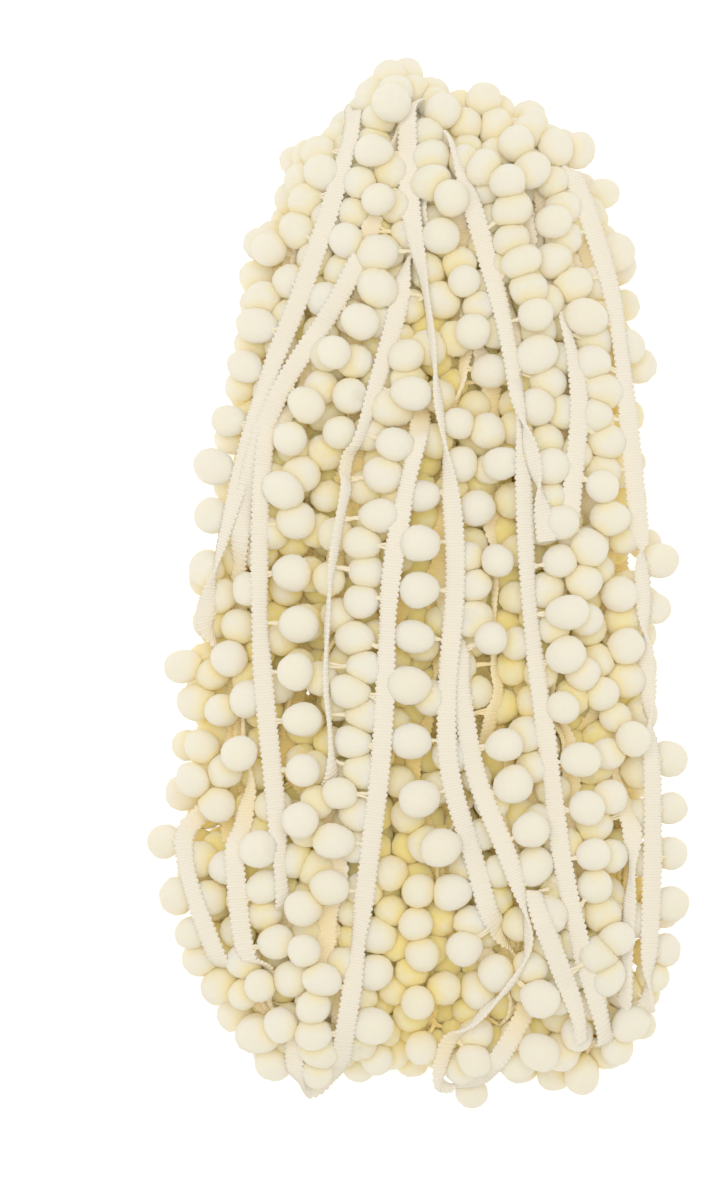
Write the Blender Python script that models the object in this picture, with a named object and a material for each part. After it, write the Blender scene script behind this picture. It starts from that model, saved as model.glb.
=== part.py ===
"""Pompom fringe trim wound into a hank that lies flat, with the two cut ends of its tape on top.

The hank is one solid of its wound form: bundles of strands run from the gathered head to the
wider, uneven foot, drift across each other's line on the way, and turn over at both ends.
Units are metres. +Y runs from the foot to the head, +Z is up, and the underside lies at Z = 0.
"""

from typing import NamedTuple

import bmesh
import bpy
import numpy as np
from mathutils import Vector
from mathutils.bvhtree import BVHTree

# Driving dimensions of the hank.
HANK_LENGTH = 0.281
HANK_WIDTH = 0.1415
HANK_THICKNESS = 0.0525
FOLD_RADIUS = 0.024  # how far from an end the strands start to turn over
FOLD_NARROWING = 0.16  # share of its width that the hank loses where it turns over
TIP_THICKNESS = 0.20  # share of its thickness left at the very end of a fold
BELLY_HEIGHT = 0.30  # share of the thickness at which the hank is widest
ROUNDNESS = 2.5  # exponent of the section: 2 is an ellipse, more is squarer
UNDERSIDE_CUT = 1.35  # how much of the lower half of the section is cut off flat
CREST_SHARPNESS = 0.75  # exponent of a bundle's sine-shaped back: under 1 is fuller
TALLEST_RISE = 0.0070

# Driving dimensions of the cut ends.
TAPE_WIDTH = 0.0055
TAPE_THICKNESS = 0.0012
REST_GAP = 0.0006  # clearance between a cut end and the strands below it

# How finely the faces are laid out.
SECTION_COUNT = 34
END_CROWDING = 0.6  # 0 spaces the sections evenly, 1 crowds them where the strands turn over
STEPS_PER_BUNDLE = 5
STEPS_ACROSS_TAPE = 4
STEPS_ALONG_TAPE = 14


class Section(NamedTuple):
    """Where the hank's sides are at one place along it, and how thick it is there."""

    along: float  # 0 at the foot, 1 at the head
    left: float
    right: float
    thick: float  # share of HANK_THICKNESS


class Bundle(NamedTuple):
    """A bundle of strands: its right-hand valley at three stations, its rise, and its two ends.

    A valley's place is a share of the way over the hank, from its left side to its right side.
    """

    at_foot: float
    at_waist: float
    at_head: float
    rise: float
    foot_end: float
    head_end: float


class RoutePoint(NamedTuple):
    """One point of a cut end's route, as seen from above."""

    x: float
    y: float


SECTIONS = (
    Section(0.00, -0.0600, 0.0680, 0.74),
    Section(0.07, -0.0660, 0.0695, 0.82),
    Section(0.16, -0.0705, 0.0705, 0.88),
    Section(0.30, -0.0705, 0.0690, 0.95),
    Section(0.42, -0.0685, 0.0660, 0.98),
    Section(0.55, -0.0630, 0.0665, 1.00),
    Section(0.68, -0.0590, 0.0655, 0.98),
    Section(0.80, -0.0530, 0.0610, 0.92),
    Section(0.90, -0.0440, 0.0530, 0.84),
    Section(1.00, -0.0340, 0.0440, 0.74),
)

BUNDLES = (
    Bundle(0.15, 0.12, 0.15, 0.0040, -0.1190, 0.1190),
    Bundle(0.27, 0.24, 0.28, 0.0062, -0.1310, 0.1260),
    Bundle(0.36, 0.35, 0.38, 0.0050, -0.1405, 0.1330),
    Bundle(0.46, 0.43, 0.48, 0.0070, -0.1340, 0.1405),
    Bundle(0.54, 0.54, 0.56, 0.0052, -0.1385, 0.1320),
    Bundle(0.65, 0.62, 0.66, 0.0066, -0.1350, 0.1345),
    Bundle(0.76, 0.74, 0.74, 0.0048, -0.1390, 0.1290),
    Bundle(0.87, 0.87, 0.85, 0.0060, -0.1340, 0.1310),
    Bundle(1.00, 1.00, 1.00, 0.0040, -0.1320, 0.1200),
)

OUTER_END_ROUTE = (
    RoutePoint(0.0235, 0.0510),
    RoutePoint(0.0262, 0.0400),
    RoutePoint(0.0290, 0.0290),
    RoutePoint(0.0308, 0.0190),
    RoutePoint(0.0322, 0.0085),
)

INNER_END_ROUTE = (
    RoutePoint(0.0300, -0.0870),
    RoutePoint(0.0345, -0.0980),
    RoutePoint(0.0385, -0.1080),
    RoutePoint(0.0410, -0.1150),
    RoutePoint(0.0420, -0.1230),
)


def between(place, stations, values):
    """The value at one place, on a smooth cubic curve through the stations."""
    slopes = np.gradient(values, stations)
    step = int(np.clip(np.searchsorted(stations, place, side="right") - 1, 0, len(stations) - 2))
    span = stations[step + 1] - stations[step]
    share = (place - stations[step]) / span
    start = (1.0 + 2.0 * share) * (1.0 - share) ** 2 * values[step]
    leave = share * (1.0 - share) ** 2 * span * slopes[step]
    end = share**2 * (3.0 - 2.0 * share) * values[step + 1]
    arrive = share**2 * (share - 1.0) * span * slopes[step + 1]
    return float(start + leave + end + arrive)


def column(rows, name):
    """One named column of a table, as an array."""
    return np.array([getattr(row, name) for row in rows])


def valley_places(along):
    """The place of each valley between bundles, over a section this far along the hank."""
    stations = np.array([0.0, 0.5, 1.0])
    places = [0.0]
    for bundle in BUNDLES:
        values = np.array([bundle.at_foot, bundle.at_waist, bundle.at_head])
        places.append(between(along, stations, values))
    return np.array(places)


def bundle_centres(valleys):
    """The middle of each bundle, from the valleys on both sides of it."""
    return (valleys[:-1] + valleys[1:]) / 2.0


def section_ring(along):
    """The points of one section, over the top from left to right and back along the underside."""
    stations = column(SECTIONS, "along")
    left, right, thick = (
        between(along, stations, column(SECTIONS, name)) for name in ("left", "right", "thick")
    )
    valleys = valley_places(along)
    over = np.interp(
        np.arange(len(BUNDLES) * STEPS_PER_BUNDLE + 1) / STEPS_PER_BUNDLE,
        np.arange(len(valleys)),
        valleys,
    )
    rises = np.repeat(column(BUNDLES, "rise"), STEPS_PER_BUNDLE)
    lobe = np.sin(np.pi * (np.arange(len(over) - 1) % STEPS_PER_BUNDLE) / STEPS_PER_BUNDLE)
    ridge = np.append(rises * lobe**CREST_SHARPNESS, 0.0)

    # The strands turn over near both ends, where the section draws in as a quarter circle.
    reach = HANK_LENGTH * min(along, 1.0 - along)
    turned = max(0.0, 1.0 - reach / FOLD_RADIUS)
    fold = max(TIP_THICKNESS, float(np.sqrt(1.0 - turned * turned)))

    angle = np.pi * (1.0 - over)
    across = np.sign(np.cos(angle)) * np.abs(np.cos(angle)) ** (2.0 / ROUNDNESS)
    height = np.abs(np.sin(angle)) ** (2.0 / ROUNDNESS)
    body = (HANK_THICKNESS - TALLEST_RISE) * thick
    belly = body * BELLY_HEIGHT
    half = (right - left) / 2.0 * (1.0 - FOLD_NARROWING * turned**2)
    x = (left + right) / 2.0 + half * across
    upper = belly + (body - belly + ridge) * fold * height
    lower = np.maximum(0.0, belly - belly * UNDERSIDE_CUT * fold * height)

    # The bundles end at different places, so the section is bent to follow them.
    centres = bundle_centres(valleys)
    foot = np.interp(over, centres, column(BUNDLES, "foot_end"))
    head = np.interp(over, centres, column(BUNDLES, "head_end"))
    y = foot + (head - foot) * along
    top = np.stack([x, y, upper], axis=1)
    bottom = np.stack([x, y, lower], axis=1)[-2:0:-1]
    return np.concatenate([top, bottom])


def fabric_material(name, colour, roughness):
    """A plain woven finish for one object."""
    material = bpy.data.materials.new(name)
    material.use_nodes = True
    shader = material.node_tree.nodes["Principled BSDF"]
    shader.inputs["Base Color"].default_value = (*colour, 1.0)
    shader.inputs["Roughness"].default_value = roughness
    shader.inputs["Metallic"].default_value = 0.0
    return material


def new_object(name, shell, material):
    """An object with this mesh and its own material."""
    mesh = bpy.data.meshes.new(name)
    shell.to_mesh(mesh)
    shell.free()
    mesh.materials.append(material)
    mesh.shade_smooth()
    made = bpy.data.objects.new(name, mesh)
    bpy.context.collection.objects.link(made)
    return made


def bridge(shell, first, second):
    """Faces between two closed rings of points."""
    count = len(first)
    for i in range(count):
        j = (i + 1) % count
        shell.faces.new((first[i], first[j], second[j], second[i]))


def close_end(shell, ring, top_count, facing):
    """Faces from the top of a ring straight down to its underside."""
    top = ring[:top_count]
    under = [ring[0], *reversed(ring[top_count:]), ring[top_count - 1]]
    for i in range(top_count - 1):
        corners = [top[i], top[i + 1], under[i + 1], under[i]]
        corners = list(dict.fromkeys(corners))
        shell.faces.new(corners[::facing])


def make_hank():
    """The wound form, as sections from the foot to the head."""
    shell = bmesh.new()
    steps = np.linspace(0.0, 1.0, SECTION_COUNT)
    crowded = (1.0 - np.cos(np.pi * steps)) / 2.0
    stations = steps + (crowded - steps) * END_CROWDING
    rings = [[shell.verts.new(point) for point in section_ring(s)] for s in stations]
    for first, second in zip(rings, rings[1:]):
        bridge(shell, first, second)
    top_count = len(BUNDLES) * STEPS_PER_BUNDLE + 1
    close_end(shell, rings[0], top_count, 1)
    close_end(shell, rings[-1], top_count, -1)
    bmesh.ops.recalc_face_normals(shell, faces=shell.faces)
    set_down(shell)
    material = fabric_material("wound_trim", (0.90, 0.85, 0.72), 0.95)
    return new_object("wound_hank", shell, material)


def set_down(shell):
    """Moves the hank so that its length and width are the driving ones, centred on X and Y."""
    points = np.array([vert.co for vert in shell.verts])
    low, high = points.min(axis=0), points.max(axis=0)
    middle = (low + high) / 2.0
    grow = np.array([HANK_WIDTH, HANK_LENGTH]) / (high - low)[:2]
    for vert in shell.verts:
        vert.co.x = (vert.co.x - middle[0]) * grow[0]
        vert.co.y = (vert.co.y - middle[1]) * grow[1]


def make_tape_end(name, route, hank):
    """A flat strip that lies on the hank along a route, clear of every strand below it."""
    surface = BVHTree.FromObject(hank, bpy.context.evaluated_depsgraph_get())
    knots = np.array(route)
    lengths = np.append(0.0, np.cumsum(np.linalg.norm(np.diff(knots, axis=0), axis=1)))
    places = np.linspace(0.0, lengths[-1], STEPS_ALONG_TAPE + 1)
    path = np.stack([np.interp(places, lengths, knots[:, axis]) for axis in (0, 1)], axis=1)
    direction = np.gradient(path, axis=0)
    direction /= np.linalg.norm(direction, axis=1)[:, None]
    side = np.stack([-direction[:, 1], direction[:, 0]], axis=1)

    offsets = np.linspace(-0.5, 0.5, STEPS_ACROSS_TAPE + 1) * TAPE_WIDTH
    above = 2.0 * HANK_THICKNESS
    heights = np.zeros(len(path))
    for i, (point, across) in enumerate(zip(path, side)):
        for offset in offsets:
            x, y = point + across * offset
            hit = surface.ray_cast(Vector((x, y, above)), Vector((0.0, 0.0, -1.0)))
            heights[i] = max(heights[i], hit[0].z)
    lifted = np.array([heights[max(0, i - 1) : i + 2].max() for i in range(len(path))])
    base = lifted + REST_GAP

    shell = bmesh.new()
    rings = []
    for point, across, low in zip(path, side, base):
        left = point - across * TAPE_WIDTH / 2.0
        right = point + across * TAPE_WIDTH / 2.0
        high = low + TAPE_THICKNESS
        corners = ((*left, low), (*right, low), (*right, high), (*left, high))
        rings.append([shell.verts.new(corner) for corner in corners])
    for first, second in zip(rings, rings[1:]):
        bridge(shell, first, second)
    shell.faces.new(rings[0])
    shell.faces.new(rings[-1][::-1])
    bmesh.ops.recalc_face_normals(shell, faces=shell.faces)
    return new_object(name, shell, fabric_material(f"{name}_tape", (0.93, 0.89, 0.78), 0.85))


def main():
    for item in list(bpy.data.objects):
        bpy.data.objects.remove(item, do_unlink=True)
    hank = make_hank()
    make_tape_end("outer_end", OUTER_END_ROUTE, hank)
    make_tape_end("inner_end", INNER_END_ROUTE, hank)


main()
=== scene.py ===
"""Pompom fringe trim wound into a hank that lies flat: its looks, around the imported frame.

The trim is made as the real thing is. One long ribbed tape is wound turn on turn into a skein,
with a felted ball hung from one edge every 13 mm. The turns then settle against each other in the
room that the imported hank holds, and tape, balls and threads are meshed where they came to lie.
Units are metres. +Y runs from the foot to the head, and +Z is up.
"""

import logging
import math
from dataclasses import dataclass, field
from enum import Enum

import bpy
import numpy as np
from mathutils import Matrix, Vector
from mathutils.bvhtree import BVHTree


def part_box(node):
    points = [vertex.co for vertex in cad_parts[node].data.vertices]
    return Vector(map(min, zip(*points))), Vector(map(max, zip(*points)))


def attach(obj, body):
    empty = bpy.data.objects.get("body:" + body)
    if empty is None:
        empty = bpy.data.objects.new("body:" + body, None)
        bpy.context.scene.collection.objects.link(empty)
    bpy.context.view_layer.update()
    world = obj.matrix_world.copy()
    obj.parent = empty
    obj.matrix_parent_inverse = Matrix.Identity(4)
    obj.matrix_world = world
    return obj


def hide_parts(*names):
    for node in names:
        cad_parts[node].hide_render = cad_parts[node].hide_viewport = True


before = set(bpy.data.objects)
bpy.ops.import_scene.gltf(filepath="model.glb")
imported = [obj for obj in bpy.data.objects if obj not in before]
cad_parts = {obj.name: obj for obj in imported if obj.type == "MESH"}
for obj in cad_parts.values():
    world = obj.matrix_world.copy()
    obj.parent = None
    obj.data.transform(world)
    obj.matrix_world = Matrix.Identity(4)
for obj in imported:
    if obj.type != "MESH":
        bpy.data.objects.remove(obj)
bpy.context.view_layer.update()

LOG = logging.getLogger("pompom_trim")
HANK_NODE = "wound_hank"
BODY = "root"
UP = np.array([0.0, 0.0, 1.0])
LEFTWARDS = np.array([-1.0, 0.0, 0.0])
DOWN = Vector((0.0, 0.0, -1.0))
TRIM_UV = "along_trim"
TINY = 1e-12  # stands in for a length of zero where one is divided by
# Painted contact shade: a ball gets it from this far off a plane that presses it, full where it
# touches.
PAINTED_SHADE_REACH = 0.002  # from this far off a plane, a ball's surface is shaded as if it came to touch
YARN = 0.00055  # from one strand to the next in the cords that the gimp is ribbed with
FELT_NAP = 1500.0  # steps of the nap's noise to a metre
THREAD_NAP = 3000.0


class Side(Enum):
    """The side of a run that its balls hang on, as seen from above with the head up."""

    LEFT = -1.0
    RIGHT = 1.0


class Slot(Enum):
    """The record's material slots."""

    POMPOMS = "pompoms"
    TAPE = "tape"


@dataclass(frozen=True)
class TopRun:
    """One run of the tape over the top of the hank, from head to foot.

    Attributes:
        name: What the run is called.
        side: The side that its balls hang on.
        lean: How far the tape leans off flat, in degrees.
        shows: Stretches of Y over which the tape lies on top of the balls.
        x: Where the run is at each of STATIONS.
        loop: Points that it passes after the last station, where it hangs out at the foot.
    """

    name: str
    side: Side
    lean: float
    shows: tuple[tuple[float, float], ...]
    x: tuple[float, ...]
    loop: tuple[tuple[float, float, float], ...] = ()


# Y of the places at which each run's X is given, from head to foot.
STATIONS = (0.125, 0.100, 0.075, 0.050, 0.025, 0.0, -0.025, -0.050, -0.075, -0.100, -0.125)

# The outermost shell's runs over the top, from left to right.
TOP_RUNS = (
    TopRun("far_left", Side.RIGHT, 20, (),
           (-.020, -.030, -.040, -.049, -.053, -.056, -.059, -.060, -.061, -.059, -.048),
           ((-.0480, -.1290, .0270), (-.0480, -.1310, .0190), (-.0480, -.1290, .0120))),
    TopRun("left_sweep", Side.LEFT, 8, ((.132, -.014), (-.064, -.104)),
           (-.0170, -.0235, -.0320, -.0425, -.0485, -.0558, -.0610, -.0650, -.0640, -.0545, -.0430)),
    TopRun("left_edge", Side.LEFT, 20, (),
           (-.0180, -.0280, -.0380, -.0450, -.0500, -.0530, -.0560, -.0570, -.0580, -.0560, -.0450)),
    TopRun("left_second", Side.RIGHT, 0, ((.086, .010), (-.068, -.102)),
           (-.0060, -.0100, -.0205, -.0385, -.0470, -.0495, -.0510, -.0520, -.0495, -.0475, -.0360)),
    TopRun("left_straight", Side.RIGHT, 25, ((.042, -.084),),
           (-.0120, -.0180, -.0280, -.0405, -.0425, -.0430, -.0422, -.0395, -.0372, -.0360, -.0300)),
    TopRun("left_hidden", Side.LEFT, 20, (),
           (-.0080, -.0120, -.0180, -.0260, -.0300, -.0320, -.0330, -.0330, -.0315, -.0300, -.0240)),
    TopRun("middle_left", Side.RIGHT, 40, ((.083, .034), (.024, -.052)),
           (-.0040, -.0060, -.0050, -.0125, -.0200, -.0245, -.0258, -.0230, -.0260, -.0300, -.0220)),
    TopRun("middle_bright", Side.LEFT, 5, ((.040, -.138),),
           (.0020, .0000, .0010, .0020, -.0043, -.0090, -.0097, -.0112, -.0145, -.0172, -.0218),
           ((-.0232, -.1310, .0300), (-.0240, -.1370, .0270), (-.0262, -.1405, .0255),
            (-.0292, -.1412, .0250), (-.0322, -.1390, .0260), (-.0338, -.1340, .0290),
            (-.0342, -.1260, .0320), (-.0325, -.1160, .0330), (-.0310, -.1100, .0280))),
    TopRun("middle_twist", Side.LEFT, 12, ((.132, -.090),),
           (-.0038, -.0042, .0012, .0034, .0072, .0090, .0062, .0058, .0142, .0200, .0240)),
    TopRun("middle_hidden", Side.LEFT, 20, (),
           (.0090, .0130, .0160, .0180, .0190, .0190, .0190, .0150, .0060, -.0010, -.0040),
           ((-.0040, -.1340, .0290), (-.0038, -.1370, .0240), (-.0036, -.1380, .0180),
            (-.0036, -.1370, .0120))),
    TopRun("middle_thin", Side.RIGHT, 45, ((-.016, -.120),),
           (.0060, .0090, .0100, .0120, .0120, .0100, .0098, .0125, .0238, .0308, .0040),
           ((.0042, -.1320, .0290), (.0065, -.1390, .0260), (.0108, -.1415, .0240),
            (.0152, -.1390, .0250), (.0180, -.1310, .0300), (.0230, -.1220, .0350),
            (.0280, -.1130, .0330))),
    TopRun("right_diagonal", Side.RIGHT, 22, ((.118, -.126),),
           (.0045, .0125, .0198, .0245, .0262, .0270, .0300, .0335, .0365, .0425, .0505)),
    TopRun("right_inner", Side.LEFT, 20, (),
           (.0240, .0340, .0400, .0450, .0480, .0500, .0500, .0500, .0490, .0480, .0450)),
    TopRun("right_hidden", Side.LEFT, 20, (),
           (.0190, .0290, .0340, .0360, .0380, .0390, .0400, .0410, .0420, .0440, .0460)),
    TopRun("right_second", Side.RIGHT, 35, ((.068, .012),),
           (.0180, .0280, .0355, .0420, .0390, .0370, .0400, .0430, .0460, .0500, .0520)),
    TopRun("right_ribbed", Side.LEFT, 0, ((.112, -.114),),
           (.0330, .0432, .0508, .0535, .0562, .0586, .0600, .0614, .0612, .0604, .0600)),
    TopRun("far_right", Side.LEFT, 15, ((-.066, -.116),),
           (.0340, .0430, .0510, .0540, .0560, .0570, .0570, .0560, .0560, .0540, .0540)),
)


def unit(vectors: np.ndarray) -> np.ndarray:
    """Each vector divided by its length.

    Args:
        vectors: Vectors along the last axis.

    Returns:
        The vectors at length one; a zero vector stays zero.
    """
    length = np.linalg.norm(vectors, axis=-1, keepdims=True)
    return vectors / np.maximum(length, TINY)


def across(vectors: np.ndarray, along: np.ndarray) -> np.ndarray:
    """The part of each vector that is square to a direction, at length one.

    Args:
        vectors: The vectors.
        along: Directions of length one to stay square to.

    Returns:
        Unit vectors: each vector less its share along the direction.
    """
    return unit(vectors - np.sum(vectors * along, axis=-1, keepdims=True) * along)


def smoothed(values: np.ndarray, passes: int) -> np.ndarray:
    """Values along a line, each averaged with its neighbours a number of times.

    Args:
        values: One row for each place on the line.
        passes: How many times each row becomes a quarter of both neighbours and half itself.

    Returns:
        The smoothed rows.
    """
    for _ in range(passes):
        padded = np.concatenate([values[:1], values, values[-1:]])
        values = (padded[:-2] + padded[2:]) / 4.0 + padded[1:-1] / 2.0
    return values


def tangents(line: np.ndarray) -> np.ndarray:
    """The direction of a line at each of its points: the central difference, at length one."""
    return unit(np.gradient(line, axis=0))


def respaced(rows: np.ndarray, spacing: float) -> np.ndarray:
    """A line's rows at even steps along it.

    Args:
        rows: The line's points in the first three columns, and what is carried along in the rest.
        spacing: The step's length.

    Returns:
        Rows at equal arc length: points interpolated, the rest taken from the nearest given row.
    """
    steps = np.linalg.norm(np.diff(rows[:, :3], axis=0), axis=1)
    run = np.append(0.0, np.cumsum(steps))
    places = np.linspace(0.0, run[-1], max(2, round(run[-1] / spacing) + 1))
    points = [np.interp(places, run, column) for column in rows[:, :3].T]
    nearest = np.round(np.interp(places, run, np.arange(len(rows)))).astype(int)
    return np.concatenate([np.stack(points, axis=1), rows[nearest, 3:]], axis=1)


def close_pairs(
    first: np.ndarray, second: np.ndarray, reach: float
) -> tuple[np.ndarray, np.ndarray]:
    """Every pair of points from two sets that lie within reach of each other.

    The second set is sorted along Y, so that each point meets only those in its own slice.

    Args:
        first: Points.
        second: Points.
        reach: The largest distance.

    Returns:
        The indices into first and into second, one for each pair.
    """
    order = np.argsort(second[:, 1])
    lowest = np.searchsorted(second[order, 1], first[:, 1] - reach)
    highest = np.searchsorted(second[order, 1], first[:, 1] + reach)
    counts = highest - lowest
    a = np.repeat(np.arange(len(first)), counts)
    starts = np.repeat(np.cumsum(counts) - counts, counts)
    b = order[np.arange(counts.sum()) - starts + np.repeat(lowest, counts)]
    near = np.sum((first[a] - second[b]) ** 2, axis=1) < reach * reach
    return a[near], b[near]


def solid_of(node: str) -> BVHTree:
    """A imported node's faces, ready to be searched."""
    return BVHTree.FromObject(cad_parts[node], bpy.context.evaluated_depsgraph_get())


def blended(
    values: np.ndarray, points: np.ndarray, low: np.ndarray, cell: float
) -> np.ndarray:
    """Values at points, blended from the lattice places round each of them.

    Each of the places counts by the product, over the axes, of how near it is.

    Args:
        values: The lattice's values, its axes first and any columns last.
        points: Points, with as many coordinates as the lattice has axes.
        low: The lattice's first place.
        cell: The lattice's spacing.

    Returns:
        The values at the points, with the lattice's columns.
    """
    size = points.shape[1]
    cells = np.array(values.shape[:size]) - 2
    # A point past the lattice counts as one at the far side of its last cell.
    place = np.clip((points - low) / cell, 0.0, cells + 0.999)
    base = place.astype(int)
    share = place - base
    total = np.zeros((len(points), *values.shape[size:]))
    for corner in np.ndindex(*(2,) * size):
        weight = np.prod(np.where(corner, share, 1.0 - share), axis=1)
        found = values[tuple((base + np.array(corner)).T)]
        total += weight.reshape(-1, *(1,) * (found.ndim - 1)) * found
    return total


@dataclass
class Room:
    """The space that the wound trim fills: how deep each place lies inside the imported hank.

    Attributes:
        node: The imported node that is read.
        cell: The lattice's spacing.
        margin: How far the lattice goes past the node.
        low: The lattice's first place.
        fields: Depth below the surface at each lattice place, and its gradient.
        roof: Height of the top over each lattice place, zero outside the outline.
    """

    node: str = HANK_NODE
    cell: float = 0.004
    margin: float = 0.016
    low: np.ndarray = field(init=False)
    fields: np.ndarray = field(init=False)
    roof: np.ndarray = field(init=False)

    def __post_init__(self) -> None:
        """Measures the node on a lattice: signed depth, the way inwards, and the top's height."""
        corner_low, corner_high = (np.array(corner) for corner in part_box(self.node))
        self.low = corner_low - self.margin
        counts = np.ceil((corner_high + self.margin - self.low) / self.cell).astype(int) + 1
        axes = [self.low[axis] + self.cell * np.arange(counts[axis]) for axis in range(3)]
        shell = solid_of(self.node)
        lattice = np.stack(np.meshgrid(*axes, indexing="ij"), axis=-1)
        nearest = [shell.find_nearest(Vector(point))[:2] for point in lattice.reshape(-1, 3)]
        found = np.array([place for place, _ in nearest]).reshape(lattice.shape)
        facing = np.array([normal for _, normal in nearest]).reshape(lattice.shape)
        offset = found - lattice
        inside = np.sign(np.sum(offset * facing, axis=-1))
        depth = np.linalg.norm(offset, axis=-1) * inside
        inward = np.stack(np.gradient(depth, self.cell), axis=-1)
        self.fields = np.concatenate([depth[..., None], inward], axis=-1)
        above = float(corner_high[2]) + self.margin
        hits = [[shell.ray_cast(Vector((x, y, above)), DOWN)[0] for y in axes[1]] for x in axes[0]]
        self.roof = np.array([[0.0 if hit is None else hit.z for hit in row] for row in hits])

    def sample(self, points: np.ndarray) -> np.ndarray:
        """Depth below the surface at each point, positive inside, and the depth's gradient."""
        return blended(self.fields, points, self.low, self.cell)

    def top(self, places: np.ndarray) -> np.ndarray:
        """The height of the hank's top over each X and Y, zero outside the hank's outline."""
        return blended(self.roof, places, self.low[:2], self.cell)

    def hold(self, points: np.ndarray, inset: np.ndarray) -> np.ndarray:
        """Points brought back to where they lie at least their inset deep.

        Args:
            points: Points, one a row.
            inset: The least depth of each.

        Returns:
            The points, moved inwards along the depth's gradient by what is missing.
        """
        measured = self.sample(points)
        missing = np.maximum(0.0, inset - measured[:, 0])
        return points + unit(measured[:, 1:]) * missing[:, None]


@dataclass(frozen=True)
class FreeEnd:
    """A cut end of the tape that lies on the hank.

    Attributes:
        node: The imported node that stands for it.
        mark: The shell number that marks its points, below zero.
        joins: The shell that it comes from.
        side: The side that its balls hang on.
        lean: How far it leans off flat, in degrees.
        route: X and Y of its middle, from the hank to the cut.
        approach: Points inside the hank that the tape comes from.
        steps: Points of its line.
        passes: How many times the line is smoothed.
        sunk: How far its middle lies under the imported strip's top.
    """

    node: str
    mark: int
    joins: int
    side: Side
    lean: float
    route: tuple[tuple[float, float], ...]
    approach: tuple[tuple[float, float, float], ...]
    steps: int = 40
    passes: int = 12
    sunk: float = 0.0006

    def line(self) -> np.ndarray:
        """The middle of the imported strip, at even steps, on a curve through the route.

        Returns:
            Points from the hank to the cut, half a thickness under the strip's top.
        """
        route = np.array(self.route)
        places = np.linspace(0.0, len(route) - 1.0, self.steps)
        numbers = np.arange(len(route))
        flat = np.stack([np.interp(places, numbers, column) for column in route.T], axis=1)
        flat = smoothed(flat, self.passes)
        strip = solid_of(self.node)
        hits = [strip.ray_cast(Vector((x, y, 1.0)), DOWN)[0] for x, y in flat]
        heights = np.array([np.nan if hit is None else hit.z for hit in hits])
        known = np.isfinite(heights)
        heights = np.interp(places, places[known], heights[known]) - self.sunk
        return np.concatenate([flat, heights[:, None]], axis=1)

    def run(self) -> np.ndarray:
        """The run to the end, and the end itself, up to the cut.

        Returns:
            Rows of X, Y, Z, side, lean, shown and shell; a shell below zero marks the end itself.
        """
        inside = np.array(self.approach)
        points = np.concatenate([inside, self.line()])
        flags = np.zeros((len(points), 4))
        flags[:, 0], flags[:, 1] = self.side.value, self.lean
        flags[: len(inside), 3] = self.joins
        flags[len(inside) :, 2:] = (1.0, self.mark)
        return np.concatenate([points, flags], axis=1)


OUTER_END = FreeEnd(
    "outer_end", -1, 0, Side.RIGHT, 10.0,
    ((.0235, .0510), (.0262, .0400), (.0290, .0290), (.0308, .0190), (.0322, .0085)),
    ((.0300, .1120, .0300), (.0262, .0850, .0330), (.0235, .0640, .0360)),
)
INNER_END = FreeEnd(
    "inner_end", -2, 2, Side.RIGHT, 0.0,
    ((.0300, -.0870), (.0345, -.0980), (.0385, -.1080), (.0410, -.1150), (.0420, -.1230)),
    ((-.0100, .0900, .0260), (.0060, .0300, .0260), (.0180, -.0300, .0260),
     (.0260, -.0720, .0330)),
)


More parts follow.
